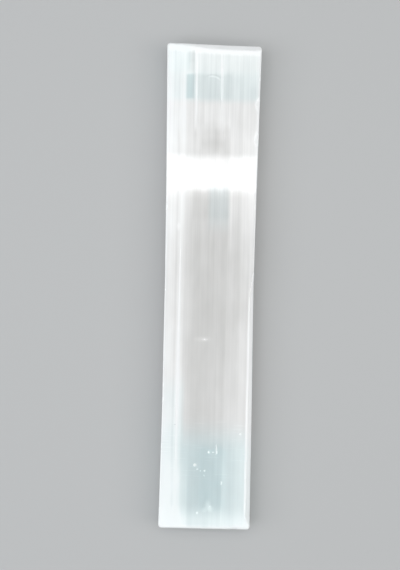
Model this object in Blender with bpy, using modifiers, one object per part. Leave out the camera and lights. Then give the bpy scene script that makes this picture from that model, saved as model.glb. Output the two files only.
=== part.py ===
"""A sawn and hand-polished slab of fibrous selenite, lying on its broad underside.

Frame: +X across the slab, +Y along the fibres towards the head end, +Z up.
The origin is in the middle of the underside, on the surface that the slab rests on.
"""

import math

import bmesh
import bpy
from mathutils import Matrix, Vector

MM = 0.001

# Driving sizes of the slab.
LENGTH = 190.0 * MM
THICKNESS = 10.0 * MM
WAIST_WIDTH = 34.8 * MM  # at mid length, where the slab is narrowest
HEAD_WIDTH = 37.1 * MM
FOOT_WIDTH = 35.9 * MM
FLARE_POWER = 1.35  # above 1, the sides stay nearly parallel round the waist and open out late

# The slab isn't quite straight.
BOW = 0.2 * MM  # how far it bows to the right
BOW_MIDDLE = -52.0 * MM  # where along it the bow is greatest
BOW_REACH = 50.0 * MM  # and how far from there it runs out

# How the ends and arrises are worked.
HEAD_SKEW = math.radians(0.8)  # the head is sawn this far off square, short on the right
CORNER_RADIUS = 1.3 * MM  # of the four upright corners
CORNER_SEGMENTS = 4
ARRIS_RADIUS = 0.55 * MM  # every other edge is eased by this much
ARRIS_SEGMENTS = 2
ARRIS_ANGLE = math.radians(30)

# A splinter has come away along the fibres, which leaves a flat on the right arris from the waist to the foot.
FLAT_WIDTH = 1.9 * MM
FLAT_RUN_OUT = 9.0 * MM  # the flat dies away over this length towards the head

# The head's top edge is ground away in a long shallow hollow, which runs out left of the middle.
HOLLOW_MIDDLE = 12.0 * MM  # where it is deepest, across the slab
HOLLOW_REACH = 25.0 * MM  # from there to where it runs out
HOLLOW_WIDTH = 1.95 * MM  # taken off the top face
HOLLOW_DEPTH = 1.6 * MM  # taken off the head's end face
HOLLOW_RADIUS = 8.0 * MM  # of its section

STATIONS = 12  # lengths that the blank is divided into, to carry the waist

# Grooves where a bundle of fibres was plucked out: face, place across it, foot end, head end, width, depth.
# The place is across the slab on the top and the underside, and above the underside on the two sides.
GROOVES = [
    ("top", -11.6, -90.0, 24.0, 1.0, 0.08),
    ("top", -6.6, 60.0, 92.0, 0.9, 0.06),
    ("top", 3.2, 68.0, 91.0, 0.8, 0.08),
    ("underside", -5.5, -40.0, 66.0, 1.0, 0.18),
    ("underside", 9.4, -80.0, -22.0, 0.9, 0.16),
    ("left", 6.4, -70.0, 30.0, 1.0, 0.22),
    ("left", 3.1, -20.0, 84.0, 0.8, 0.18),
    ("right", 5.6, -30.0, 78.0, 1.0, 0.22),
    ("right", 3.4, -88.0, -18.0, 0.8, 0.18),
]

# Chips in the arrises and pits in the top face: centre x, y, z and the three radii.
CHIPS = [
    (17.9, 57.8, 10.1, 1.0, 2.9, 0.9),
    (18.3, 72.0, 10.1, 0.9, 1.6, 0.8),
    (-17.8, -31.0, 10.2, 0.8, 2.2, 0.8),
    (-18.2, 88.5, -0.1, 0.9, 2.0, 0.8),
    (11.5, -95.1, 10.1, 1.9, 0.8, 0.8),
    (-9.0, -95.1, -0.1, 1.7, 0.8, 0.7),
    (17.8, -90.5, -0.1, 0.8, 1.9, 0.7),
    (-14.6, 95.1, 10.1, 1.4, 0.7, 0.7),
    (-1.3, -20.8, 10.5, 1.6, 0.7, 0.6),
    (4.5, -63.9, 10.35, 0.6, 1.8, 0.6),
    (-3.9, -70.0, 10.3, 0.7, 0.7, 0.6),
    (1.5, -64.9, 10.3, 0.6, 0.7, 0.6),
    (2.3, -86.3, 10.6, 1.1, 0.9, 0.7),
]


def half_width(y):
    """Half the slab's width at a place along it."""
    along = 2 * y / LENGTH
    end_width = HEAD_WIDTH if along > 0 else FOOT_WIDTH
    return (WAIST_WIDTH + (end_width - WAIST_WIDTH) * abs(along) ** FLARE_POWER) / 2


def bow(y):
    """How far the slab is bowed to the right at a place along it."""
    return BOW * max(0, 1 - ((y - BOW_MIDDLE) / BOW_REACH) ** 2) ** 2


def sawn_blank():
    """The block as sawn: flat top and underside, waisted sides, and the head a little off square."""
    bm = bmesh.new()
    bmesh.ops.create_cube(bm, size=1)
    bmesh.ops.transform(
        bm,
        matrix=Matrix.Translation((0, 0, THICKNESS / 2)) @ Matrix.Diagonal((2, LENGTH, THICKNESS, 1)),
        verts=bm.verts,
    )
    for station in range(1, STATIONS):
        y = LENGTH * (station / STATIONS - 0.5)
        everything = bm.verts[:] + bm.edges[:] + bm.faces[:]
        bmesh.ops.bisect_plane(bm, geom=everything, plane_co=(0, y, 0), plane_no=(0, 1, 0))
    for vert in bm.verts:
        vert.co.x = vert.co.x * half_width(vert.co.y) + bow(vert.co.y)
        if vert.co.y > LENGTH / 2 - MM:
            vert.co.y -= math.tan(HEAD_SKEW) * (vert.co.x + HEAD_WIDTH / 2)
    return bm


def round_corners(bm):
    """Rounds the four upright corners."""
    upright = [
        edge
        for edge in bm.edges
        if abs(edge.verts[0].co.z - edge.verts[1].co.z) > THICKNESS / 2
        and abs(edge.verts[0].co.y) > LENGTH / 2 - MM
    ]
    bmesh.ops.bevel(
        bm, geom=upright, offset=CORNER_RADIUS, segments=CORNER_SEGMENTS, profile=0.5, affect="EDGES"
    )


def split_off_splinter(bm):
    """Cuts the long flat on the right arris, between the waist and the foot."""
    arris = [
        edge
        for edge in bm.edges
        if all(v.co.z > THICKNESS / 2 and v.co.x > WAIST_WIDTH / 3 and v.co.y < MM for v in edge.verts)
        and abs(edge.verts[0].co.y - edge.verts[1].co.y) > MM
    ]
    stop = max((v for edge in arris for v in edge.verts), key=lambda v: v.co.y)
    stop_at = stop.co.copy()
    bmesh.ops.bevel(bm, geom=arris, offset=FLAT_WIDTH, offset_type="OFFSET", segments=1, affect="EDGES")
    tip = min(bm.verts, key=lambda v: (v.co - stop_at).length)
    tip.co.y += FLAT_RUN_OUT


def ellipsoid(name, centre, radii, around=10, rings=8, turned_about="X"):
    """A closed ellipsoid as a cutter, its poles along the fibres unless it is turned about Y."""
    bm = bmesh.new()
    bmesh.ops.create_uvsphere(bm, u_segments=around, v_segments=rings, radius=1)
    lie_down = Matrix.Rotation(math.radians(90), 4, turned_about)
    bmesh.ops.transform(bm, matrix=Matrix.Diagonal((*radii, 1)) @ lie_down, verts=bm.verts)
    mesh = bpy.data.meshes.new(name)
    bm.to_mesh(mesh)
    bm.free()
    cutter = bpy.data.objects.new(name, mesh)
    cutter.location = centre
    cutter.hide_render = True
    cutter.display_type = "WIRE"
    return cutter


def groove_cutter(index, face, place, foot, head, width, depth):
    """A long ellipsoid that sinks by depth into a face and leaves a groove of that width."""
    radius = (width * width / 4 + depth * depth) / (2 * depth) * MM
    middle = (foot + head) / 2 * MM
    length = (head - foot) / 2 * MM
    # The ellipsoid's round section leaves the groove shorter than itself, so it is made this much longer.
    stretch = 1 / math.sqrt(1 - (1 - depth * MM / radius) ** 2)
    lift = radius - depth * MM
    centre = {
        "top": (place * MM, middle, THICKNESS + lift),
        "underside": (place * MM, middle, -lift),
        "left": (bow(middle) - half_width(middle) - lift, middle, place * MM),
        "right": (bow(middle) + half_width(middle) + lift, middle, place * MM),
    }[face]
    cutter = ellipsoid(f"groove_{index}", centre, (radius, length * stretch, radius), around=16, rings=24)
    # On the two sides the ellipsoid bends with the waist and the bow, so that the groove stays as deep all along.
    outward = {"left": -1, "right": 1}.get(face)
    if outward:
        for vert in cutter.data.vertices:
            y = middle + vert.co.y
            vert.co.x += outward * (half_width(y) - half_width(middle)) + bow(y) - bow(middle)
    return cutter


def hollow_cutter():
    """A long ellipsoid whose skin takes off the head's top edge."""
    edge_y = LENGTH / 2 - math.tan(HEAD_SKEW) * (HOLLOW_MIDDLE + HEAD_WIDTH / 2)
    edge = Vector((HOLLOW_MIDDLE, edge_y, THICKNESS))
    from_edge = Vector((0, HOLLOW_WIDTH, HOLLOW_DEPTH)) / 2
    outward = Vector((0, HOLLOW_DEPTH, HOLLOW_WIDTH)).normalized()
    centre = edge - from_edge + outward * math.sqrt(HOLLOW_RADIUS**2 - from_edge.length**2)
    stretch = 1 / math.sqrt(1 - ((centre - edge).length / HOLLOW_RADIUS) ** 2)
    radii = (HOLLOW_REACH * stretch, HOLLOW_RADIUS, HOLLOW_RADIUS)
    return ellipsoid("hollow", centre, radii, around=48, rings=28, turned_about="Y")


def chip_cutter(index, values):
    numbers = [value * MM for value in values]
    return ellipsoid(f"chip_{index}", numbers[:3], numbers[3:])


def selenite():
    """The slab's material: white, silky, and partly see-through."""
    material = bpy.data.materials.new("satin_spar_selenite")
    material.use_nodes = True
    shader = material.node_tree.nodes["Principled BSDF"]
    shader.inputs["Base Color"].default_value = (0.86, 0.90, 0.91, 1)
    shader.inputs["Roughness"].default_value = 0.2
    shader.inputs["Metallic"].default_value = 0
    shader.inputs["IOR"].default_value = 1.52
    shader.inputs["Transmission Weight"].default_value = 0.35
    return material


def polished_slab(bm, cutters):
    """The slab's object, with eased arrises, then the grooves and chips cut out of it."""
    mesh = bpy.data.meshes.new("slab")
    bm.to_mesh(mesh)
    bm.free()
    slab = bpy.data.objects.new("slab", mesh)
    slab.data.materials.append(selenite())

    ease = slab.modifiers.new("eased arrises", "BEVEL")
    ease.width = ARRIS_RADIUS
    ease.segments = ARRIS_SEGMENTS
    ease.limit_method = "ANGLE"
    ease.angle_limit = ARRIS_ANGLE

    cut = slab.modifiers.new("grooves and chips", "BOOLEAN")
    cut.operation = "DIFFERENCE"
    cut.operand_type = "COLLECTION"
    cut.collection = cutters
    cut.solver = "EXACT"
    return slab


def new_collection(name):
    collection = bpy.data.collections.new(name)
    bpy.context.scene.collection.children.link(collection)
    return collection


def main():
    for leftover in list(bpy.data.objects):
        bpy.data.objects.remove(leftover)
    part = new_collection("selenite_slab")
    cutters = new_collection("cutters")

    cutters.objects.link(hollow_cutter())
    for index, groove in enumerate(GROOVES):
        cutters.objects.link(groove_cutter(index, *groove))
    for index, chip in enumerate(CHIPS):
        cutters.objects.link(chip_cutter(index, chip))

    blank = sawn_blank()
    round_corners(blank)
    split_off_splinter(blank)
    part.objects.link(polished_slab(blank, cutters))


main()
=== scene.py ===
# Satin-spar selenite: a sawn and hand-polished slab, lying on its broad underside.
import itertools
import math

import bpy
import numpy as np
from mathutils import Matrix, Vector


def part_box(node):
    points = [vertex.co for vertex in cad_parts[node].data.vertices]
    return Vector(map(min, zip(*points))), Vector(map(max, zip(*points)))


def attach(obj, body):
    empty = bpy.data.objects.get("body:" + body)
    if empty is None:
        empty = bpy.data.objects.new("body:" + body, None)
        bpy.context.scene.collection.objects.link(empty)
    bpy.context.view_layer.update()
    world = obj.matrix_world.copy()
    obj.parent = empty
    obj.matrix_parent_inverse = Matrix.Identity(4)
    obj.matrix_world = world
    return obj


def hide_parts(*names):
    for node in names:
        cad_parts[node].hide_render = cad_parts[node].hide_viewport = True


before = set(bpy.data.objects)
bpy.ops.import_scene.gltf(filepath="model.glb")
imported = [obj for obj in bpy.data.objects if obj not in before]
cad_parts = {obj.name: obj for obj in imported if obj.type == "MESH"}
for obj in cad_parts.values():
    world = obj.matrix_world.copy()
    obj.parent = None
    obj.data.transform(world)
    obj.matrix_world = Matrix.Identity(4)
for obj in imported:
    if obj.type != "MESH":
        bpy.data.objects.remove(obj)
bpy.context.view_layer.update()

solidLow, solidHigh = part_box("slab")
mm = 0.001
halfLength = -solidLow.y / mm
thickness = solidHigh.z / mm


def hexToLinear(text):
    # an sRGB hex colour as the linear values that the shaders want
    channels = [int(text[i:i + 2], 16) / 255 for i in (1, 3, 5)]
    return tuple(c / 12.92 if c <= 0.04045 else ((c + 0.055) / 1.055) ** 2.4 for c in channels) + (1.0,)


def addNode(tree, kind, settings, links):
    # one node; a setting is a property or a socket's value, and a link is a number or another node's socket
    node = tree.nodes.new("ShaderNode" + kind)
    for name, value in settings.items():
        if isinstance(name, str) and hasattr(node, name):
            setattr(node, name, value)
        else:
            node.inputs[name].default_value = value
    for name, source in links.items():
        if isinstance(source, bpy.types.NodeSocket):
            tree.links.new(source, node.inputs[name])
        else:
            node.inputs[name].default_value = source
    return node


print("frame loaded, slab is", round(halfLength * 2), "mm long")

# the slab's shape, in mm unless a note says otherwise; places along run from the foot to the head
slab = {
    "waistWidth": 34.8,      # narrowest, at mid length
    "headWidth": 37.1,
    "footWidth": 35.9,
    "flarePower": 1.35,      # how late the sides open out
    "bow": 0.2,              # how far the slab bows to the right
    "bowMiddle": -52.0,      # where along it the bow is greatest
    "bowReach": 50.0,        # and how far from there it runs out
    "headSkew": 0.8,         # degrees that the head is sawn off square
    "skewFrom": 79.2,        # the skew starts this far up the slab
    "cornerRadius": 1.3,     # the four upright corners
    "arrisRadius": 0.55,     # every other edge
    # a splinter left a flat on the right arris
    "flatBorder": 15.92,     # from here outwards
    "flatPlaces": [-94.5, -90.0, -2.0, 8.5],   # where it starts, is whole, starts to die away and has gone
    "flatWander": 0.24,      # how far its border wanders
    "flatWaves": 9.0,        # and over what length
    "flatThinnest": 0.02,    # where it would be narrower there is none
    # the head's top edge is ground away in a long hollow
    "hollowMiddle": 12.0,    # deepest here across the slab
    "hollowReach": 25.0,     # it runs out this far from there
    "hollowWidth": 1.95,     # what it takes off the top face
    "hollowDepth": 1.6,      # and off the sawn end
    "hollowRadius": 8.0,     # of its section
    # these two cut facets are rubbed white along their borders
    "softEdge": 0.10,        # how rounded a border is
    "cutFrom": 0.05,         # what is cut by more than this belongs to the facet
    "rubbedPlaces": [-90.0, -85.5, -24.0, 3.0],   # as flatPlaces, for the white along the flat
    "rubbedBorder": 0.45,    # how far it reaches from the flat's upper border
    "rubbedFoot": 1.10,      # and from its lower one
    "rubbedHead": 2.00,      # and how far the stone is bruised below the hollow
    "hollowWhite": 0.65,     # how strong that bruise is
    "cutRim": 0.35,          # how wide the facets' own outer edges are painted lighter, a painted highlight
    # the painted highlight along the other arrises, which stands in for the light they catch; strongest at
    # the ends
    "rimPlaces": [-93.5, -91.5, 30.0, 55.0, 91.5, 93.5],   # places along, for the next two
    "rimWidths": [0.45, 0.20, 0.20, 0.20, 0.20, 0.45],
    "rimLightStrengths": [1.0, 0.45, 0.45, 0.80, 0.80, 1.0],
    # small damage
    "skin": 0.3,             # a groove moves only what is this near to its own face
    "rag": (0.88, 0.24),     # the distance from a scoop's middle counts this much, and up to so much more
    "ragGrain": (0.5, 1.4, 0.5),   # how fast that changes across, along and up, which makes the border ragged
    "nicks": 46,             # small nicks along the arrises
    "nickSpare": (3, 4),     # lengths left free of them at the foot and the head
    "nickRadius": (0.22, 0.42),
    "nickStretch": (1.5, 5),   # how many times longer they are than wide
    "nickPlace": (0.05, 0.02),   # how far inside the wall and outside the broad face their middles are
    "bruises": {"groove": 0.4, "chip": 0.8, "pit": 0.15, "nick": 0.6},   # how white each kind is
    # the fibres' own relief: its grain across, along and up, and its height
    "silk": ((1.1, 30.0, 1.1), 0.016),      # streaks, everywhere
    "swell": ((3.2, 24.0, 3.2), 0.020),     # broad swells, everywhere
    "ledge": ((3.0, 55.0, 0.8), 0.070),     # flat steps, on the long walls
    "grit": ((0.45, 3.0, 0.45), 0.070),     # grains, on the sawn ends
    "ledgeShape": (-0.05, 8),   # the level of the noise that a ledge steps at, and how steeply
    "roughSilk": 0.050,      # the streaks' height on the long walls and the cut facets
    "frosted": 1.2,          # how strongly the sawn ends are frosted
    # the mesh
    "finestStep": 0.13,      # its spacing at the arrises
    "stepGrowth": 1.17,      # each step is this many times the one nearer to the arris
    "stepAcross": 0.43,      # up to these
    "stepAlong": 0.60,
    "stepUp": 0.60,
    "pittedStretch": [-73.5, -62.5],   # between these places along, where small pits lie, it is finer
    "pittedStart": 0.2,      # the first fine step is this far inside
    "pittedStep": 0.30,
    "seed": 11,
}
blockHalfWidth = slab["headWidth"] / 2

# face, place across it, foot end, head end, width, depth
grooves = [
    ("top", -11.6, -90.0, 24.0, 1.0, 0.08),
    ("top", -6.6, 60.0, 92.0, 0.9, 0.06),
    ("top", 3.2, 68.0, 91.0, 0.8, 0.08),
    ("underside", -5.5, -40.0, 66.0, 1.0, 0.18),
    ("underside", 9.4, -80.0, -22.0, 0.9, 0.16),
    ("left", 6.4, -70.0, 30.0, 1.0, 0.22),
    ("left", 3.1, -20.0, 84.0, 0.8, 0.18),
    ("right", 5.6, -30.0, 78.0, 1.0, 0.22),
    ("right", 3.4, -88.0, -18.0, 0.8, 0.18),
]

# centre x, y, z and three radii, of the chips in the arrises and of the pits in the top face
chips = [
    (18.0, 57.8, 10.25, 1.5, 2.7, 0.6),
    (18.3, 72.0, 10.25, 1.5, 1.9, 0.6),
    (-17.8, -31.0, 10.2, 0.8, 2.2, 0.8),
    (-18.2, 88.5, -0.1, 0.9, 2.0, 0.8),
    (11.5, -95.1, 10.1, 1.9, 0.8, 0.8),
    (-9.0, -95.1, -0.1, 1.7, 0.8, 0.7),
    (17.8, -90.5, -0.1, 0.8, 1.9, 0.7),
    (-14.6, 95.1, 10.1, 1.4, 0.7, 0.7),
]
pits = [
    (-1.3, -20.8, 10.5, 1.6, 0.7, 0.6),
    (4.5, -63.9, 10.3, 0.4, 1.8, 0.4),
    (-3.9, -70.0, 10.3, 0.7, 0.7, 0.6),
    (1.5, -64.9, 10.3, 0.6, 0.7, 0.6),
    (2.3, -86.3, 10.68, 1.1, 0.9, 0.7),
    (3.2, -64.9, 10.25, 0.5, 0.4, 0.4),
    (-2.9, -71.6, 10.25, 0.4, 0.5, 0.4),
    (0.0, -72.2, 10.25, 0.5, 0.5, 0.4),
    (6.7, -77.0, 10.25, 0.4, 0.8, 0.4),
    (-2.6, -88.8, 10.25, 0.5, 0.5, 0.4),
    (13.6, -57.7, 10.25, 0.4, 0.4, 0.4),
]


def gradedLine(length, coarsest):
    # places along a side, close together at its two ends
    steps = [slab["finestStep"]]
    while sum(steps) < length / 2:
        steps.append(min(steps[-1] * slab["stepGrowth"], coarsest))
    half = np.cumsum([0] + steps) * (length / 2) / sum(steps) - length / 2
    return np.concatenate([half, -half[-2::-1]])


def latticeNoise(points, cell, seed):
    # a smooth random value from 0 to 1 at each point; cell is its grain across, along and up, in mm
    period = 64  # cells after which it comes again
    grid = points / np.array(cell)
    corner = np.floor(grid).astype(int)
    part = grid - corner
    part = part * part * (3 - 2 * part)
    values = np.random.default_rng(seed).random((period, period, period))
    total = np.zeros(len(points))
    for step in itertools.product((0, 1), repeat=3):
        place = (corner + step) % period
        weight = np.where(step, part, 1 - part).prod(axis=1)
        total += weight * values[place[:, 0], place[:, 1], place[:, 2]]
    return total


def blockGrid(across, along, up):
    # the six faces of a block as grids that share their border points
    index = -np.ones((len(across), len(along), len(up)), int)
    i, j, k = np.indices(index.shape)
    border = (i == 0) | (j == 0) | (k == 0)
    border |= (i == len(across) - 1) | (j == len(along) - 1) | (k == len(up) - 1)
    index[border] = np.arange(border.sum())
    points = np.stack([across[i[border]], along[j[border]], up[k[border]]], axis=1)
    sheets = {
        "top": index[:, :, -1],
        "underside": index[:, :, 0].T,
        "right": index[-1],
        "left": index[0].T,
        "head": index[:, -1].T,
        "foot": index[:, 0],
    }
    quads = {
        name: np.stack([s[:-1, :-1], s[1:, :-1], s[1:, 1:], s[:-1, 1:]], axis=-1).reshape(-1, 4)
        for name, s in sheets.items()
    }
    return points, quads


def halfWidth(along):
    end = np.where(along > 0, slab["headWidth"], slab["footWidth"])
    reach = np.abs(along / halfLength) ** slab["flarePower"]
    return (slab["waistWidth"] + (end - slab["waistWidth"]) * reach) / 2


def bow(along):
    return slab["bow"] * np.clip(1 - ((along - slab["bowMiddle"]) / slab["bowReach"]) ** 2, 0, None) ** 2


def roundCorners(points):
    # the plan's square corners become quarter circles, and what lies inside them follows
    radius = slab["cornerRadius"]
    centre = np.array([blockHalfWidth - radius, halfLength - radius])
    past = np.abs(points[:, :2]) - centre
    hit = (past > 0).all(axis=1)
    inside = past[hit]
    inside *= (inside.max(axis=1) / np.linalg.norm(inside, axis=1))[:, None]
    points[hit, :2] = np.sign(points[hit, :2]) * (centre + inside)


def planDistance(points):
    # how far each point is inside the outline, and which way is out
    radius = slab["cornerRadius"]
    centre = np.array([blockHalfWidth - radius, halfLength - radius])
    past = np.abs(points[:, :2]) - centre
    nearest = past.argmax(axis=1)
    outward = np.eye(2)[nearest]
    distance = radius - past.max(axis=1)
    hit = (past > 0).all(axis=1)
    reach = np.linalg.norm(past[hit], axis=1)
    outward[hit] = past[hit] / reach[:, None]
    distance[hit] = radius - reach
    return distance, outward * np.sign(points[:, :2])


def easeArrises(points):
    # the sharp edges between the broad faces and the walls become quarter rounds
    radius = slab["arrisRadius"]
    distance, outward = planDistance(points)
    above = points[:, 2] - thickness / 2
    depth = thickness / 2 - np.abs(above)
    hit = (distance < radius) & (depth < radius)
    corner = radius - np.stack([distance, depth], axis=1)[hit]
    rounded = corner * (radius / np.linalg.norm(corner, axis=1))[:, None]
    points[hit, :2] -= outward[hit] * (corner - rounded)[:, :1]
    points[hit, 2] -= np.sign(above[hit]) * (corner - rounded)[:, 1]
    return np.maximum(distance, depth), distance


def cutBack(points, proud, outward, rubbed):
    # what stands proud of a cut is pushed back to it, with a soft border that is rubbed white
    soft = slab["softEdge"]
    cut = np.where(proud > soft, proud, np.clip(proud + soft, 0, None) ** 2 / (4 * soft))
    points -= cut[:, None] * outward
    return cut > slab["cutFrom"], np.clip(1 - np.abs(proud) / rubbed, 0, 1)


def splitSplinter(points):
    along = points[:, 1]
    wander = latticeNoise(points * [0, 1, 0], (1, slab["flatWaves"], 1), slab["seed"] + 1)
    width = halfWidth(along) - slab["flatBorder"] + slab["flatWander"] * (wander - 0.5)
    width *= np.interp(along, slab["flatPlaces"], [0, 1, 1, 0])
    side = halfWidth(along) + bow(along)
    proud = (points[:, 0] - side + points[:, 2] - thickness + width) / math.sqrt(2)
    proud = np.where(width > slab["flatThinnest"], proud, -1)
    low = points[:, 2] < thickness - width / 2
    rubbed = np.where(low, slab["rubbedFoot"], slab["rubbedBorder"])
    flat, border = cutBack(points, proud, np.array([math.sqrt(0.5), 0, math.sqrt(0.5)]), rubbed)
    return flat, border * np.interp(along, slab["rubbedPlaces"], [0, 1, 1, 0])


def grindHollow(points):
    # a long ellipsoid's skin takes off the head's top edge
    radius = slab["hollowRadius"]
    skew = math.tan(math.radians(slab["headSkew"])) * (slab["hollowMiddle"] + blockHalfWidth)
    edge = np.array([slab["hollowMiddle"], halfLength - skew, thickness])
    fromEdge = np.array([0, slab["hollowWidth"], slab["hollowDepth"]]) / 2
    outward = np.array([0, slab["hollowDepth"], slab["hollowWidth"]]) / (2 * np.linalg.norm(fromEdge))
    centre = edge - fromEdge + outward * math.sqrt(radius ** 2 - fromEdge @ fromEdge)
    stretch = 1 / math.sqrt(1 - ((centre - edge) @ (centre - edge)) / radius ** 2)
    radii = np.array([slab["hollowReach"] * stretch, radius, radius])
    away = (points - centre) / radii
    reach = np.linalg.norm(away, axis=1)
    proud = (1 - reach) * radius
    outward = -away / radii
    outward /= np.linalg.norm(outward, axis=1)[:, None]
    return cutBack(points, proud, outward, np.where(proud < 0, slab["rubbedHead"], slab["rubbedBorder"]))


def pluckGroove(points, face, place, foot, head, width, depth):
    radius = (width ** 2 / 4 + depth ** 2) / (2 * depth)
    lift = radius - depth
    reach = (head - foot) / 2 / math.sqrt(1 - (lift / radius) ** 2)
    axis, sign = {"top": (2, 1), "underside": (2, -1), "right": (0, 1), "left": (0, -1)}[face]
    if axis == 2:
        near = sign * (points[:, 2] - thickness / 2) > thickness / 2 - slab["skin"]
        beside = points[:, 0] - place
    else:
        near = sign * (points[:, 0] - bow(points[:, 1])) > halfWidth(points[:, 1]) - slab["skin"]
        beside = points[:, 2] - place
    along = (points[:, 1] - (foot + head) / 2) / reach
    sink = np.sqrt(np.clip(radius ** 2 * (1 - along ** 2) - beside ** 2, 0, None)) - lift
    sink = np.where(near, np.clip(sink, 0, None), 0)
    points[:, axis] -= sign * sink
    return sink / depth


def strikeChip(points, centre, radii, rag):
    # the skin inside the scoop is pushed to the scoop's far side, away from a point outside the stone
    fromCentre = (points - centre) / radii * rag[:, None]
    reach = np.linalg.norm(fromCentre, axis=1)
    hit = reach < 1
    nearArris = 3            # mm
    facesOut = np.abs(centre) > [blockHalfWidth - nearArris, halfLength - nearArris, 0]
    outward = np.sign(centre - np.array([0, 0, thickness / 2])) * facesOut
    outside = 0.9            # how far out the point is, as a share of the scoop's radii
    ray = fromCentre[hit] - outside * outward / np.linalg.norm(outward)
    ray /= np.linalg.norm(ray, axis=1)[:, None]
    along = (fromCentre[hit] * ray).sum(axis=1)
    shove = np.sqrt(along ** 2 + 1 - reach[hit] ** 2) - along
    points[hit] += ray * (shove / rag[hit])[:, None] * radii
    bruiseReach = 1.12       # the bruise ends this far out, as a share of the radii, and fades over this much
    bruiseFade = 0.2
    return np.clip((bruiseReach - reach) / bruiseFade, 0, 1)


def makeSlabMesh():
    along = gradedLine(halfLength * 2, slab["stepAlong"])
    low, high = slab["pittedStretch"]
    along = along[(along < low) | (along > high)]
    finer = np.arange(low + slab["pittedStart"], high, slab["pittedStep"])
    along = np.sort(np.append(along, finer))
    points, quads = blockGrid(
        gradedLine(slab["headWidth"], slab["stepAcross"]),
        along,
        gradedLine(thickness, slab["stepUp"]) + thickness / 2,
    )
    roundCorners(points)
    inFromArris, inFromWall = easeArrises(points)
    points[:, 0] = points[:, 0] * halfWidth(points[:, 1]) / blockHalfWidth + bow(points[:, 1])
    ramp = np.clip((points[:, 1] - slab["skewFrom"]) / (halfLength - slab["skewFrom"]), 0, 1)
    points[:, 1] -= math.tan(math.radians(slab["headSkew"])) * (points[:, 0] + blockHalfWidth) * ramp
    flat, flatBorder = splitSplinter(points)
    hollow, hollowBorder = grindHollow(points)

    white = slab["bruises"]
    bruise = np.zeros(len(points))
    for groove in grooves:
        bruise = np.maximum(bruise, white["groove"] * pluckGroove(points, *groove))
    least, more = slab["rag"]
    rag = least + more * latticeNoise(points, slab["ragGrain"], slab["seed"] + 2)
    for chip in chips:
        bruise = np.maximum(bruise, white["chip"] * strikeChip(points, chip[:3], chip[3:], rag))
    for pit in pits:
        bruise = np.maximum(bruise, white["pit"] * strikeChip(points, pit[:3], pit[3:], rag))
    random = np.random.default_rng(slab["seed"])
    spareFoot, spareHead = slab["nickSpare"]
    inside, above = slab["nickPlace"]
    for _ in range(slab["nicks"]):
        y = random.uniform(-halfLength + spareFoot, halfLength - spareHead)
        x = random.choice([-1, 1]) * (halfWidth(np.array(y)) - inside) + bow(y)
        z = random.choice([-above, thickness + above])
        radius = random.uniform(*slab["nickRadius"])
        radii = (radius, radius * random.uniform(*slab["nickStretch"]), radius)
        bruise = np.maximum(bruise, white["nick"] * strikeChip(points, (x, y, z), radii, rag))
    # a painted highlight: the arrises and the cut facets' outer edges are painted whiter, where they catch
    # and scatter the light
    rimWidth = np.interp(points[:, 1], slab["rimPlaces"], slab["rimWidths"])
    rimLight = np.interp(points[:, 1], slab["rimPlaces"], slab["rimLightStrengths"])
    paintedRimLight = np.exp(-inFromArris / rimWidth) * rimLight
    print("slab shaped,", len(points), "points and", sum(map(len, quads.values())), "faces")
    facets = flat | hollow
    wearAndPaintedLight = {
        "bruise": bruise,
        "paintedRimLight": np.maximum(paintedRimLight, facets * np.exp(-inFromWall / slab["cutRim"])),
        "border": np.maximum(flatBorder, slab["hollowWhite"] * hollowBorder),
        # the cut facets; their milkiness gain is painted light, lightening them where they turn away from the
        # lamps
        "split": facets.astype(float),
    }
    return points, quads, wearAndPaintedLight


def makeSlab():
    points, quads, wearAndPaintedLight = makeSlabMesh()
    mesh = bpy.data.meshes.new("polished_slab")
    mesh.from_pydata(points.tolist(), [], np.concatenate(list(quads.values())).tolist())
    normals = np.zeros(len(points) * 3)
    mesh.vertex_normals.foreach_get("vector", normals)
    normals = normals.reshape(-1, 3)

    # the fibres' own relief: faint on the polished faces, stronger on the long walls, grainy on the sawn ends
    facing = 4               # the power that keeps a wall's relief off the rounded arrises
    onWall = np.abs(normals[:, 0]) ** facing
    onEnd = np.abs(normals[:, 1]) ** facing
    noise = {}
    for offset, name in enumerate(("silk", "swell", "ledge", "grit"), 3):
        noise[name] = latticeNoise(points, slab[name][0], slab["seed"] + offset) - 0.5
    level, steepness = slab["ledgeShape"]
    noise["ledge"] = np.clip((noise["ledge"] - level) * steepness, -0.5, 0.5)
    rough = slab["roughSilk"] * noise["silk"]
    relief = slab["silk"][1] * noise["silk"] + slab["swell"][1] * noise["swell"]
    relief += onWall * (rough + slab["ledge"][1] * noise["ledge"])
    relief += onEnd * slab["grit"][1] * noise["grit"] + wearAndPaintedLight["split"] * rough
    points += normals * relief[:, None]

    mesh.vertices.foreach_set("co", (points * mm).ravel())
    wearAndPaintedLight["frost"] = np.clip(onEnd * slab["frosted"], 0, 1)
    for name, values in wearAndPaintedLight.items():
        mesh.attributes.new(name, "FLOAT", "POINT").data.foreach_set("value", values)

    # the six faces side by side on one sheet of UVs, V along the fibres wherever there is a length of them;
    # each face has its place on the sheet in mm and the two axes that it is laid out by
    layout = {
        "top": (0, (0, 1)),
        "underside": (40, (0, 1)),
        "right": (80, (2, 1)),
        "left": (93, (2, 1)),
        "head": (106, (0, 2)),
        "foot": (146, (0, 2)),
    }
    uvs = [points[quads[name].ravel()][:, axes] + [place, 0] for name, (place, axes) in layout.items()]
    sheetStart = [20, 97]
    sheetSize = 200
    uvs = (np.concatenate(uvs) + sheetStart) / sheetSize
    mesh.uv_layers.new(name="sheet").data.foreach_set("uv", uvs.ravel())
    mesh.shade_smooth()
    mesh.update()
    piece = bpy.data.objects.new("polished_slab", mesh)
    bpy.context.scene.collection.objects.link(piece)
    return piece


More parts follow.
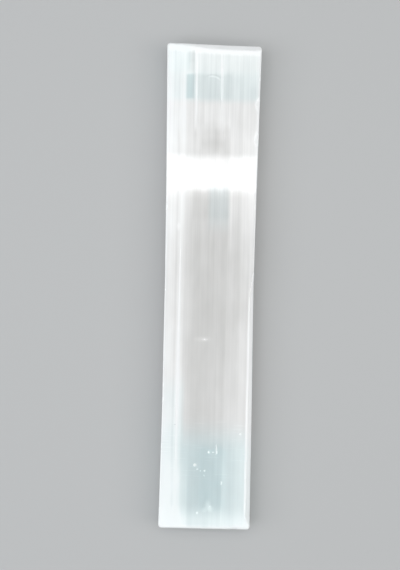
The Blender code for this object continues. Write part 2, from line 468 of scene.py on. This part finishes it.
# what the slab is made of; places are in mm, and milkiness goes from 0, clear, to 1, white
spar = {
    "milk": ("#faf8f7", "#f1faf9"),    # packed fibres, which scatter the light: where warm, and where cool
    "clear": ("#e8e6e3", "#d4e7eb"),   # fibres in line, which let it through
    "depthTint": "#f5fafc",   # the colour that light takes on deep inside it
    "depthDensity": 30.0,     # per metre, how fast
    "glow": 3.0,              # mm that light spreads below its skin
    "drift": 0.25,            # how far a fibre strays sideways
    "driftGrain": (30, 90, 30),   # and over what distances across, along and up
    "streaks": {              # width, length, how finely broken up, and how soft, from 0 to 0.5
        "bands": (2.4, 75, 1.0, 0.20),
        "fibres": (0.55, 45, 1.0, 0.20),    # bundles that the eye picks out
        "hairs": (0.24, 20, 1.0, 0.20),     # the real ones are finer, too fine to show
        "wisps": (4.0, 13, 2.0, 0.20),
        "cracks": (4.5, 0.3, 1.0, 0.20),    # across the fibres
        "ends": (0.5, 4, 2.0, 0.20),        # bundles seen end on, where the slab is sawn
        "tilt": (0.8, 8, 1.0, 0.50),        # bundles that catch the light a little differently
    },
    "sheets": (2.6, 400, 9),  # size of the sheets of fibres across, along and up
    "grain": {"bands": 0.06, "fibres": 0.06, "hairs": 0.08, "sheets": 0.05},   # how much milkier each is
    "grainPlaces": (-30.0, 40.0, 0.4),   # from the first to the second it rises from this share to all
    "wisps": {"wisps": 0.13},
    "ragged": {"fibres": 0.5, "bands": 0.6},   # mm that each moves the border of what lies across the fibres
    "zones": [                # its start at the foot and the head, its border's width there, and milkiness
        (-20.0, -20.0, 1.0, 1.0, 0.81), (-9.6, -10.4, 2.6, 1.0, 0.56), (-6.8, -7.4, 4.6, 2.0, 0.42),
        (6.7, 7.3, 2.0, 0.9, 0.55), (12.0, 11.9, 2.6, 1.2, 0.63), (15.4, 15.8, 1.2, 0.8, 0.70),
    ],
    "patches": [              # left, right, foot end, head end, border, how much milkier (or clearer)
        # the first is a milky cloud across the fibres and also a painted highlight: it whitens the band from
        # 37.7 to 50.7 mm, where the bandStrip's sheen falls
        (-25.0, 25.0, 37.7, 50.7, 3.4, 0.32), (-25.0, 25.0, 53.0, 110.0, 10.0, 0.17),
        # the first here is a painted reflection: it whitens the head above 82.8 mm, where the headStrip's
        # reflection also lands
        (-10.4, 7.3, 82.8, 110.0, 2.0, 0.15), (7.3, 11.5, 82.8, 110.0, 4.0, 0.04),
        (-25.0, -10.4, 50.0, 110.0, 6.0, -0.05), (-6.0, 3.5, 58.0, 72.0, 5.0, 0.05),
        # the last here is painted shade, a darker patch just above the bright band
        (3.5, 7.3, 58.0, 83.0, 4.0, 0.06), (-4.0, 5.5, 52.5, 57.5, 3.0, -0.07),
        (-7.4, 4.8, 73.4, 83.0, 1.2, -0.02), (-10.4, -7.4, 73.4, 83.0, 1.2, -0.19),
        (11.9, 20.0, 52.0, 97.0, 4.0, -0.05), (11.9, 20.0, 72.0, 97.0, 4.0, -0.04),
        (7.3, 25.0, 73.0, 83.0, 3.0, -0.03), (7.3, 25.0, 25.0, 60.0, 8.0, 0.04),
        # the last here is painted shade, a clearer, darker patch just below the bright band
        (12.0, 20.0, 20.0, 38.0, 6.0, 0.05), (-7.0, 7.5, 26.5, 37.5, 4.0, -0.09),
        (-25.0, -10.0, -15.0, 22.0, 8.0, -0.07), (7.3, 25.0, -15.0, 15.0, 8.0, -0.06),
        (-10.0, 7.3, -14.0, 8.0, 8.0, -0.03), (4.0, 7.2, -75.0, -30.0, 8.0, 0.05),
        (-1.5, 7.0, -87.0, -62.0, 3.0, -0.04), (7.0, 20.0, -105.0, -50.0, 16.0, 0.03),
        (-15.5, -6.8, -105.0, -72.0, 14.0, 0.12), (-25.0, 20.0, -105.0, -52.0, 20.0, 0.04),
        (-25.0, 7.0, -110.0, -88.6, 8.0, 0.28), (7.0, 25.0, -110.0, -89.6, 8.0, 0.21),
        (-25.0, -12.6, -110.0, -66.0, 10.0, 0.10), (-10.4, -7.4, 84.0, 92.5, 3.0, -0.12),
        (10.5, 15.5, -90.0, -58.0, 10.0, 0.05), (2.0, 12.0, -60.0, -42.0, 8.0, 0.04),
        (8.0, 20.0, 89.0, 110.0, 3.0, 0.03), (3.8, 8.0, 84.0, 92.0, 2.0, 0.05),
        (14.8, 17.3, 48.0, 78.0, 6.0, -0.10), (-3.0, 4.5, 63.5, 72.5, 4.0, 0.10),
        # the last on this line and the first on the next are painted shade, just above the bright band
        (4.5, 7.4, 62.0, 72.5, 4.0, 0.16), (-4.0, 4.8, 54.5, 61.2, 3.0, -0.09),
        (1.2, 3.4, 52.5, 61.2, 3.0, -0.08), (-9.6, -7.3, 87.5, 93.5, 2.0, -0.08),
    ],
    "cool": [                 # the same, but how much cooler the colour is
        (-25.0, 25.0, -110.0, -58.0, 16.0, 0.90), (-1.5, 8.0, -87.0, -64.0, 4.0, 0.25),
        (-25.0, 25.0, 72.5, 84.0, 4.0, 0.60), (-25.0, -9.0, 84.0, 110.0, 4.0, 0.35),
        (-25.0, 25.0, 84.0, 110.0, 4.0, 0.45),
        (-10.4, -7.4, 73.4, 83.0, 1.2, 0.40), (-0.5, 7.3, 24.0, 43.0, 10.0, 0.36),
        (-25.0, -9.0, -60.0, -38.0, 12.0, 0.50),
    ],
    "seams": [                # place, foot end, head end, width, how much milkier (or clearer)
        (-12.9, -94, 60, 0.9, -0.11), (-11.5, -94, 36, 1.0, 0.03), (3.3, 83, 93, 0.6, 0.17),
        (3.4, 50, 83, 0.6, 0.09), (6.9, -93, -76, 0.5, 0.07), (-5.5, 51, 63, 1.0, 0.09),
        (0.9, 22, 40, 0.8, 0.05), (8.2, 20, 40, 0.7, 0.06), (-13.2, 58, 84, 0.6, -0.06),
        (3.4, 71, 83.5, 0.7, -0.12), (-7.7, 75, 96, 0.5, -0.08),
    ],
    "feathers": [             # the same, but each starts at once on the left and dies away over its width
        (-7.1, 61, 93, 3.8, 0.17),
    ],
    "marks": [                # bruises under the top face: x, y, half width, half length, how much milkier
        (-3.9, -70.0, 0.48, 0.55, 1.0), (1.5, -64.9, 0.32, 0.44, 1.0), (3.2, -65.0, 0.36, 0.22, 0.7),
        (4.75, -65.0, 0.30, 0.50, 1.0), (4.5, -63.9, 0.16, 1.80, 1.0), (-2.9, -71.7, 0.24, 0.32, 0.6),
        (-1.6, -72.3, 0.18, 0.24, 0.4), (0.0, -72.3, 0.32, 0.32, 0.7), (-0.1, -74.1, 0.26, 0.36, 0.3),
        (6.7, -76.9, 0.20, 0.80, 0.6), (-2.6, -88.8, 0.30, 0.38, 0.8),
        (13.6, -57.7, 0.26, 0.28, 0.8), (-1.1, -20.8, 1.30, 0.40, 0.12),
        (-11.9, -54.4, 0.40, 0.22, -0.25),
    ],
    "smears": [               # the same, but with no clear border
        (1.5, -85.7, 1.0, 1.5, 0.20), (2.6, -87.1, 0.9, 1.0, 0.20), (0.3, -87.6, 0.8, 0.8, 0.12),
        (-1.8, -20.8, 2.6, 0.8, 0.12), (-12.4, 23.2, 0.60, 1.2, 0.12),
        (17.9, 71.6, 0.9, 2.0, 0.40), (17.7, 58.0, 0.8, 2.0, 0.40),
    ],
    "flakes": [               # curved cracks: centre x, y, radius, width, left end, right end, strength
        (-0.2, 77.4, 5.35, 0.5, -2.6, 3.2, -0.10), (-0.4, 77.4, 4.75, 0.6, -1.4, 2.6, 0.20),
    ],
    "markDepth": 1.2,         # half of it, for the marks and the smears
    "crumble": 0.5,           # how far their borders crumble
    "crumbleGrain": 0.625,
    "fades": {                # how wide the other soft borders are; of a mark and a smear, in half sizes
        "patchSide": 1.0, "coolSide": 2.5, "seamEnd": 6.0, "seamSide": 0.8, "featherLeft": 0.6,
        "featherEnd": 4.0, "crossEnd": 8.0, "mark": 0.7, "smear": 1.8, "flakeFoot": 0.5, "flakeEnd": 1.6,
    },
    "crossCracks": (-76.0, -50.0),   # fine cracks run across between these
    "crossGain": (0.75, 0.045),      # only the strongest show, from here, and how much milkier they are
    # the arrises' gain here is a painted highlight, and the facets' gain paints them lighter where they turn
    # away from the lamps
    "wearAndPaintedLightMilk": {"bruise": 0.9, "paintedRimLight": 0.75, "border": 0.8, "frost": 0.08, "split": 0.06},   # milkier by this
    "wornRough": {"bruise": 0.35, "frost": 0.22, "split": 0.12},   # and rougher by this
    "endSpecks": (-0.28, 0.14),      # how much clearer and milkier the sawn ends' specks are
    "clearest": (0.20, 0.45),        # milkiness, and how much light goes through there
    "milkiest": (0.95, 0.04),
    "polish": (0.16, 0.26),          # roughness between the bundles and on them
    "bundleRelief": 0.030,
    "hairRelief": 0.004,
    "sawnRelief": 0.050,
    "sawMarks": (9.0, 100.0, 0.30),  # their length, how deep they are drawn, and their pitch
    "sawSlope": 14.0,                # degrees
    "sawWeight": 1.6,                # their height against the bundles' ends
}


def crystalPlace(tree):
    # a point's place in the crystal, in mm, with the fibres' slow stray
    coords = addNode(tree, "TexCoord", {}, {})
    place = addNode(tree, "VectorMath", {"operation": "SCALE", "Scale": 1 / mm},
                    {0: coords.outputs["Object"]})
    cell = tuple(1 / size for size in spar["driftGrain"])
    slow = addNode(tree, "VectorMath", {"operation": "MULTIPLY", 1: cell}, {0: place.outputs[0]})
    stray = addNode(tree, "TexNoise", {"Scale": 1.0, "Detail": 1.0}, {"Vector": slow.outputs[0]})
    drift = (spar["drift"] * 2, 0, spar["drift"] * 2)
    strayed = addNode(tree, "VectorMath", {"operation": "MULTIPLY_ADD", 1: drift},
                      {0: stray.outputs["Color"], 2: place.outputs[0]})
    return strayed.outputs[0]


def drawFibres(tree, place, width, length, detail, reach):
    # noise drawn out along the fibres and spread from 0 to 1; width is that of one streak
    cell = (0.5 / width, 0.5 / length, 0.5 / width)
    drawn = addNode(tree, "VectorMath", {"operation": "MULTIPLY", 1: cell}, {0: place})
    noise = addNode(tree, "TexNoise", {"Scale": 1.0, "Detail": detail, "Roughness": 0.6},
                    {"Vector": drawn.outputs[0]})
    spread = addNode(tree, "MapRange", {"From Min": 0.5 - reach, "From Max": 0.5 + reach},
                     {"Value": noise.outputs["Fac"]})
    return spread.outputs[0]


def softStretch(tree, value, low, high, border, gain):
    # gain where the value is between low and high, fading to nothing over the border
    half = (high - low) / 2
    aside = addNode(tree, "Math", {"operation": "SUBTRACT", 1: (low + high) / 2}, {0: value})
    aside = addNode(tree, "Math", {"operation": "ABSOLUTE"}, {0: aside.outputs[0]})
    mask = addNode(tree, "MapRange", {"interpolation_type": "SMOOTHSTEP", "From Min": half + border / 2,
                                      "From Max": half - border / 2, "To Max": gain},
                   {"Value": aside.outputs[0]})
    return mask.outputs[0]


def sumLayers(tree, layers):
    # value times gain of every layer, added up; either is a number or a mask. The layers come one by one
    # from a generator where there are many, because the renderer has no room for all the masks at once
    total = 0.0
    for value, gain in layers:
        total = addNode(tree, "Math", {"operation": "MULTIPLY_ADD"}, {0: value, 1: gain, 2: total}).outputs[0]
    return total


def evenLayers(streaks, gains):
    # streaks go from 0 to 1, so half of every gain is taken off again
    for name, gain in gains.items():
        yield streaks[name], gain
    yield -0.5, sum(gains.values())


def milkLayers(tree, crystal, streaks, wearAndPaintedLight):
    # what makes the crystal milkier or clearer, layer by layer
    axes = addNode(tree, "SeparateXYZ", {}, {0: crystal})
    across, along = axes.outputs["X"], axes.outputs["Y"]
    fades = spar["fades"]
    before = 0.0
    for footPlace, headPlace, footBorder, headBorder, value in spar["zones"]:
        ends = {"From Min": -halfLength, "From Max": halfLength}
        place = addNode(tree, "MapRange", {**ends, "To Min": -footPlace, "To Max": -headPlace},
                        {"Value": along})
        steepness = addNode(tree, "MapRange", {**ends, "To Min": 1 / footBorder, "To Max": 1 / headBorder},
                            {"Value": along})
        past = addNode(tree, "Math", {"operation": "ADD"}, {0: across, 1: place.outputs[0]})
        past = addNode(tree, "Math", {"operation": "MULTIPLY"}, {0: past.outputs[0], 1: steepness.outputs[0]})
        step = addNode(tree, "MapRange", {"interpolation_type": "SMOOTHSTEP", "From Min": -0.5,
                                          "From Max": 0.5, "To Max": value - before},
                       {"Value": past.outputs[0]})
        yield step.outputs[0], 1.0
        before = value

    # what lies across the fibres has a ragged border, because every bundle of them ends it somewhere else
    ragged = sumLayers(tree, [(along, 1.0), *evenLayers(streaks, spar["ragged"])])
    for left, right, foot, head, border, gain in spar["patches"]:
        beside = softStretch(tree, across, left, right, fades["patchSide"], 1.0)
        yield softStretch(tree, ragged, foot, head, border, gain), beside
    for seam, foot, head, width, gain in spar["seams"]:
        line = softStretch(tree, across, seam - width / 2, seam + width / 2, width * fades["seamSide"], gain)
        yield line, softStretch(tree, along, foot, head, fades["seamEnd"], 1.0)
    for left, foot, head, width, gain in spar["feathers"]:
        start = softStretch(tree, across, left, left + width * 2, fades["featherLeft"], gain)
        fade = softStretch(tree, across, left - width, left + width / 2, width, 1.0)
        feather = addNode(tree, "Math", {"operation": "MULTIPLY"}, {0: start, 1: fade})
        yield feather.outputs[0], softStretch(tree, along, foot, head, fades["featherEnd"], 1.0)

    # towards the foot the fibres are finer and even out
    grain = sumLayers(tree, evenLayers(streaks, spar["grain"]))
    foot, head, least = spar["grainPlaces"]
    lively = addNode(tree, "MapRange", {"From Min": foot, "From Max": head, "To Min": least},
                     {"Value": along})
    yield grain, lively.outputs[0]
    yield from evenLayers(streaks, spar["wisps"])
    crossed = softStretch(tree, along, *spar["crossCracks"], fades["crossEnd"], 1.0)
    weakest, gain = spar["crossGain"]
    cracked = addNode(tree, "MapRange", {"From Min": weakest, "To Max": gain}, {"Value": streaks["cracks"]})
    yield cracked.outputs[0], crossed

    crumble = spar["crumble"]
    noise = addNode(tree, "TexNoise", {"Scale": 1 / spar["crumbleGrain"], "Detail": 2.0}, {"Vector": crystal})
    crumbled = addNode(tree, "VectorMath", {"operation": "MULTIPLY_ADD", 1: (crumble, crumble, crumble)},
                       {0: noise.outputs["Color"], 2: crystal})
    spots = [(mark, fades["mark"]) for mark in spar["marks"]]
    spots += [(smear, fades["smear"]) for smear in spar["smears"]]
    for (x, y, halfAcross, halfAlong, gain), border in spots:
        size = (halfAcross, halfAlong, spar["markDepth"])
        centre = (x + crumble / 2, y + crumble / 2, thickness + crumble / 2)
        inSizes = {1: tuple(1 / v for v in size), 2: tuple(-c / v for c, v in zip(centre, size))}
        away = addNode(tree, "VectorMath", {"operation": "MULTIPLY_ADD", **inSizes}, {0: crumbled.outputs[0]})
        away = addNode(tree, "VectorMath", {"operation": "LENGTH"}, {0: away.outputs[0]})
        yield softStretch(tree, away.outputs["Value"], -1.0, 1.0, border, gain), 1.0
    for x, y, radius, width, left, right, gain in spar["flakes"]:
        away = addNode(tree, "VectorMath", {"operation": "MULTIPLY_ADD", 1: (1, 1, 0), 2: (-x, -y, 0)},
                       {0: crystal})
        away = addNode(tree, "VectorMath", {"operation": "LENGTH"}, {0: away.outputs[0]})
        ring = softStretch(tree, away.outputs["Value"], radius - width / 2, radius + width / 2, width, gain)
        upper = softStretch(tree, along, y, y + 2 * radius, fades["flakeFoot"], 1.0)
        ring = addNode(tree, "Math", {"operation": "MULTIPLY"}, {0: ring, 1: upper})
        yield ring.outputs[0], softStretch(tree, across, left, right, fades["flakeEnd"], 1.0)

    # bruised crystal is opaque white, and so are the rubbed borders of the cut facets; the other arrises
    # carry a painted highlight, and the facets are painted a little lighter where they turn away from the
    # lamps
    for name, gain in spar["wearAndPaintedLightMilk"].items():
        yield wearAndPaintedLight[name], gain
    # the sawn ends show the fibres end on, as milky and clear specks
    low, high = spar["endSpecks"]
    specks = addNode(tree, "MapRange", {"To Min": low, "To Max": high}, {"Value": streaks["ends"]})
    yield specks.outputs[0], wearAndPaintedLight["frost"]


def coolLayers(tree, crystal):
    # what makes the crystal's colour cooler, layer by layer
    axes = addNode(tree, "SeparateXYZ", {}, {0: crystal})
    for left, right, foot, head, border, gain in spar["cool"]:
        beside = softStretch(tree, axes.outputs["X"], left, right, spar["fades"]["coolSide"], 1.0)
        yield softStretch(tree, axes.outputs["Y"], foot, head, border, gain), beside


def makeSatinSpar():
    # satin spar: gypsum in parallel fibres, sawn along them and polished; gives a silky milk-white glow,
    # half see-through, with a bright band across the fibres that moves with the light, and is also painted in
    # where it falls here as a painted highlight
    material = bpy.data.materials.new("satinSparSelenite")
    material.use_nodes = True
    tree = material.node_tree
    tree.nodes.clear()

    place = crystalPlace(tree)
    streaks = {name: drawFibres(tree, place, *values) for name, values in spar["streaks"].items()}
    # sheets of fibres that differ a little, with clear borders between them
    cell = tuple(1 / size for size in spar["sheets"])
    sheetPlace = addNode(tree, "VectorMath", {"operation": "MULTIPLY", 1: cell}, {0: place})
    sheets = addNode(tree, "TexVoronoi", {"feature": "F1", "Scale": 1.0}, {"Vector": sheetPlace.outputs[0]})
    streaks["sheets"] = addNode(tree, "SeparateColor", {}, {0: sheets.outputs["Color"]}).outputs[0]
    wearAndPaintedLight = {}
    for name in spar["wearAndPaintedLightMilk"]:
        wearAndPaintedLight[name] = addNode(tree, "Attribute", {"attribute_name": name}, {}).outputs["Fac"]

    milk = sumLayers(tree, milkLayers(tree, place, streaks, wearAndPaintedLight))
    milk = addNode(tree, "Clamp", {}, {0: milk}).outputs[0]
    cool = sumLayers(tree, coolLayers(tree, place))
    cool = addNode(tree, "Clamp", {}, {0: cool}).outputs[0]
    tints = {}
    for name in ("milk", "clear"):
        warmTint, coolTint = map(hexToLinear, spar[name])
        tint = addNode(tree, "Mix", {"data_type": "RGBA", 6: warmTint, 7: coolTint}, {0: cool})
        tints[name] = tint.outputs[2]
    colour = addNode(tree, "Mix", {"data_type": "RGBA"}, {0: milk, 6: tints["clear"], 7: tints["milk"]})
    clearest, mostThrough = spar["clearest"]
    milkiest, leastThrough = spar["milkiest"]
    seeThrough = addNode(tree, "MapRange", {"From Min": clearest, "From Max": milkiest, "To Min": mostThrough,
                                            "To Max": leastThrough}, {"Value": milk})
    between, onBundles = spar["polish"]
    polish = addNode(tree, "MapRange", {"To Min": between, "To Max": onBundles}, {"Value": streaks["fibres"]})
    rougher = [(wearAndPaintedLight[name], gain) for name, gain in spar["wornRough"].items()]
    rough = sumLayers(tree, [(polish.outputs[0], 1.0), *rougher])

    bundles = addNode(tree, "Bump", {"Strength": 1.0, "Distance": spar["bundleRelief"] * mm},
                      {"Height": streaks["tilt"]})
    silk = addNode(tree, "Bump", {"Strength": 1.0, "Distance": spar["hairRelief"] * mm},
                   {"Height": streaks["hairs"], "Normal": bundles.outputs[0]})
    slope = (0, math.radians(spar["sawSlope"]), 0)
    sawn = addNode(tree, "Mapping", {"vector_type": "TEXTURE", "Rotation": slope, "Scale": spar["sawMarks"]},
                   {"Vector": place})
    sawn = addNode(tree, "TexNoise", {"Scale": 0.5, "Detail": 1.0}, {"Vector": sawn.outputs[0]})
    sawn = sumLayers(tree, [(streaks["ends"], 1.0), (sawn.outputs["Fac"], spar["sawWeight"])])
    sawn = addNode(tree, "Math", {"operation": "MULTIPLY"}, {0: sawn, 1: wearAndPaintedLight["frost"]})
    skin = addNode(tree, "Bump", {"Strength": 1.0, "Distance": spar["sawnRelief"] * mm},
                   {"Height": sawn.outputs[0], "Normal": silk.outputs[0]})
    weave = addNode(tree, "Tangent", {"direction_type": "UV_MAP", "uv_map": "sheet"}, {})

    shader = addNode(tree, "BsdfPrincipled", {
        "IOR": 1.52, "Metallic": 0.0,
        "Subsurface Weight": 1.0, "Subsurface Radius": (1.0, 1.0, 1.0), "Subsurface Scale": spar["glow"] * mm,
        "Anisotropic": 0.8, "Coat Weight": 0.5, "Coat Roughness": 0.06, "Coat IOR": 1.5,
    }, {
        "Base Color": colour.outputs[2], "Roughness": rough, "Transmission Weight": seeThrough.outputs[0],
        "Normal": skin.outputs[0], "Coat Normal": bundles.outputs[0], "Tangent": weave.outputs[0],
    })
    depths = addNode(tree, "VolumeAbsorption",
                     {"Color": hexToLinear(spar["depthTint"]), "Density": spar["depthDensity"]}, {})
    addNode(tree, "OutputMaterial", {}, {"Surface": shader.outputs[0], "Volume": depths.outputs[0]})
    print("satin spar drawn,", len(tree.nodes), "nodes")
    return material


slabPiece = makeSlab()
slabPiece.data.materials.append(makeSatinSpar())
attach(slabPiece, "root")
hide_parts("slab")
print("slab made")

# the studio; softboxes are name, centre and size in m, what a mirror would show of them, and tint
studio = {
    "floor": "#b8b8b8",
    "floorRoughness": 0.9,
    "floorReach": 8.0,        # m, from the middle to each side
    "floorDrop": 0.15,        # mm that the floor lies under the slab, so that no two faces share a plane
    "world": "#f2f5f8",
    "worldStrength": 0.62,
    "softboxes": [
        ("leftBox", (-0.75, -0.15, 0.85), (0.8, 1.0), 1.7, "#f8fbff"),
        ("rightBox", (0.80, -0.10, 0.80), (0.6, 0.8), 1.75, "#fffdf8"),
        ("bandStrip", (0.0, 0.095, 0.61), (0.6, 0.030), 7.0, "#ffffff"),
        ("headStrip", (0.0, 0.235, 0.61), (0.6, 0.105), 1.6, "#f8fff8"),
        ("footStrip", (0.0, -0.235, 0.61), (0.6, 0.070), 1.6, "#f4ffff"),
    ],
    "frameHeight": 570,       # px, the picture's long side
    "frameWidth": 400,
    "slabCentre": (209.2, 286.2),   # px, where the slab's middle falls in the picture
    "lean": 1.295,            # degrees clockwise that the slab leans in it
    "pixelsPerMm": 2.555,
    "lens": 80.0,
    "sensor": 36.0,
}


def makeFloor():
    mesh = bpy.data.meshes.new("floor")
    reach = studio["floorReach"]
    plan = [(-reach, -reach), (reach, -reach), (reach, reach), (-reach, reach)]
    corners = [(x, y, -studio["floorDrop"] * mm) for x, y in plan]
    mesh.from_pydata(corners, [], [(0, 1, 2, 3)])
    floor = bpy.data.objects.new("floor", mesh)
    bpy.context.scene.collection.objects.link(floor)
    material = bpy.data.materials.new("mattePaper")   # backdrop paper: no gloss, so it stays plain
    material.use_nodes = True
    shader = material.node_tree.nodes["Principled BSDF"]
    shader.inputs["Base Color"].default_value = hexToLinear(studio["floor"])
    shader.inputs["Roughness"].default_value = studio["floorRoughness"]
    mesh.materials.append(material)


def makeSoftbox(name, centre, size, radiance, tint):
    # an area light that faces the slab; radiance is what a mirror would show of it
    light = bpy.data.lights.new(name, "AREA")
    light.shape = "RECTANGLE"
    light.size, light.size_y = size
    light.energy = radiance * math.pi * size[0] * size[1]
    light.color = hexToLinear(tint)[:3]
    box = bpy.data.objects.new(name, light)
    box.location = centre
    box.rotation_euler = (-Vector(centre)).to_track_quat("-Z", "Y").to_euler()
    bpy.context.scene.collection.objects.link(box)


def makeCamera():
    # looks straight down on the broad face, turned and shifted so that the slab falls where it should
    camera = bpy.data.cameras.new("camera")
    camera.lens = studio["lens"]
    camera.sensor_width = studio["sensor"]
    camera.clip_start = 0.01
    height = studio["frameHeight"] / studio["pixelsPerMm"] * studio["lens"] / studio["sensor"] * mm
    lean = math.radians(studio["lean"])
    right = (studio["frameWidth"] / 2 - studio["slabCentre"][0]) / studio["pixelsPerMm"] * mm
    up = (studio["slabCentre"][1] - studio["frameHeight"] / 2) / studio["pixelsPerMm"] * mm
    holder = bpy.data.objects.new("camera", camera)
    holder.location = (
        right * math.cos(lean) - up * math.sin(lean),
        right * math.sin(lean) + up * math.cos(lean),
        height + thickness * mm,
    )
    holder.rotation_euler = (0, 0, lean)
    bpy.context.scene.collection.objects.link(holder)
    bpy.context.scene.camera = holder


makeFloor()
makeCamera()
for softbox in studio["softboxes"]:
    makeSoftbox(*softbox)
world = bpy.data.worlds.new("studio")
world.use_nodes = True
world.node_tree.nodes["Background"].inputs["Color"].default_value = hexToLinear(studio["world"])
world.node_tree.nodes["Background"].inputs["Strength"].default_value = studio["worldStrength"]
bpy.context.scene.world = world
bpy.context.scene.view_settings.view_transform = "Standard"
print("studio set")
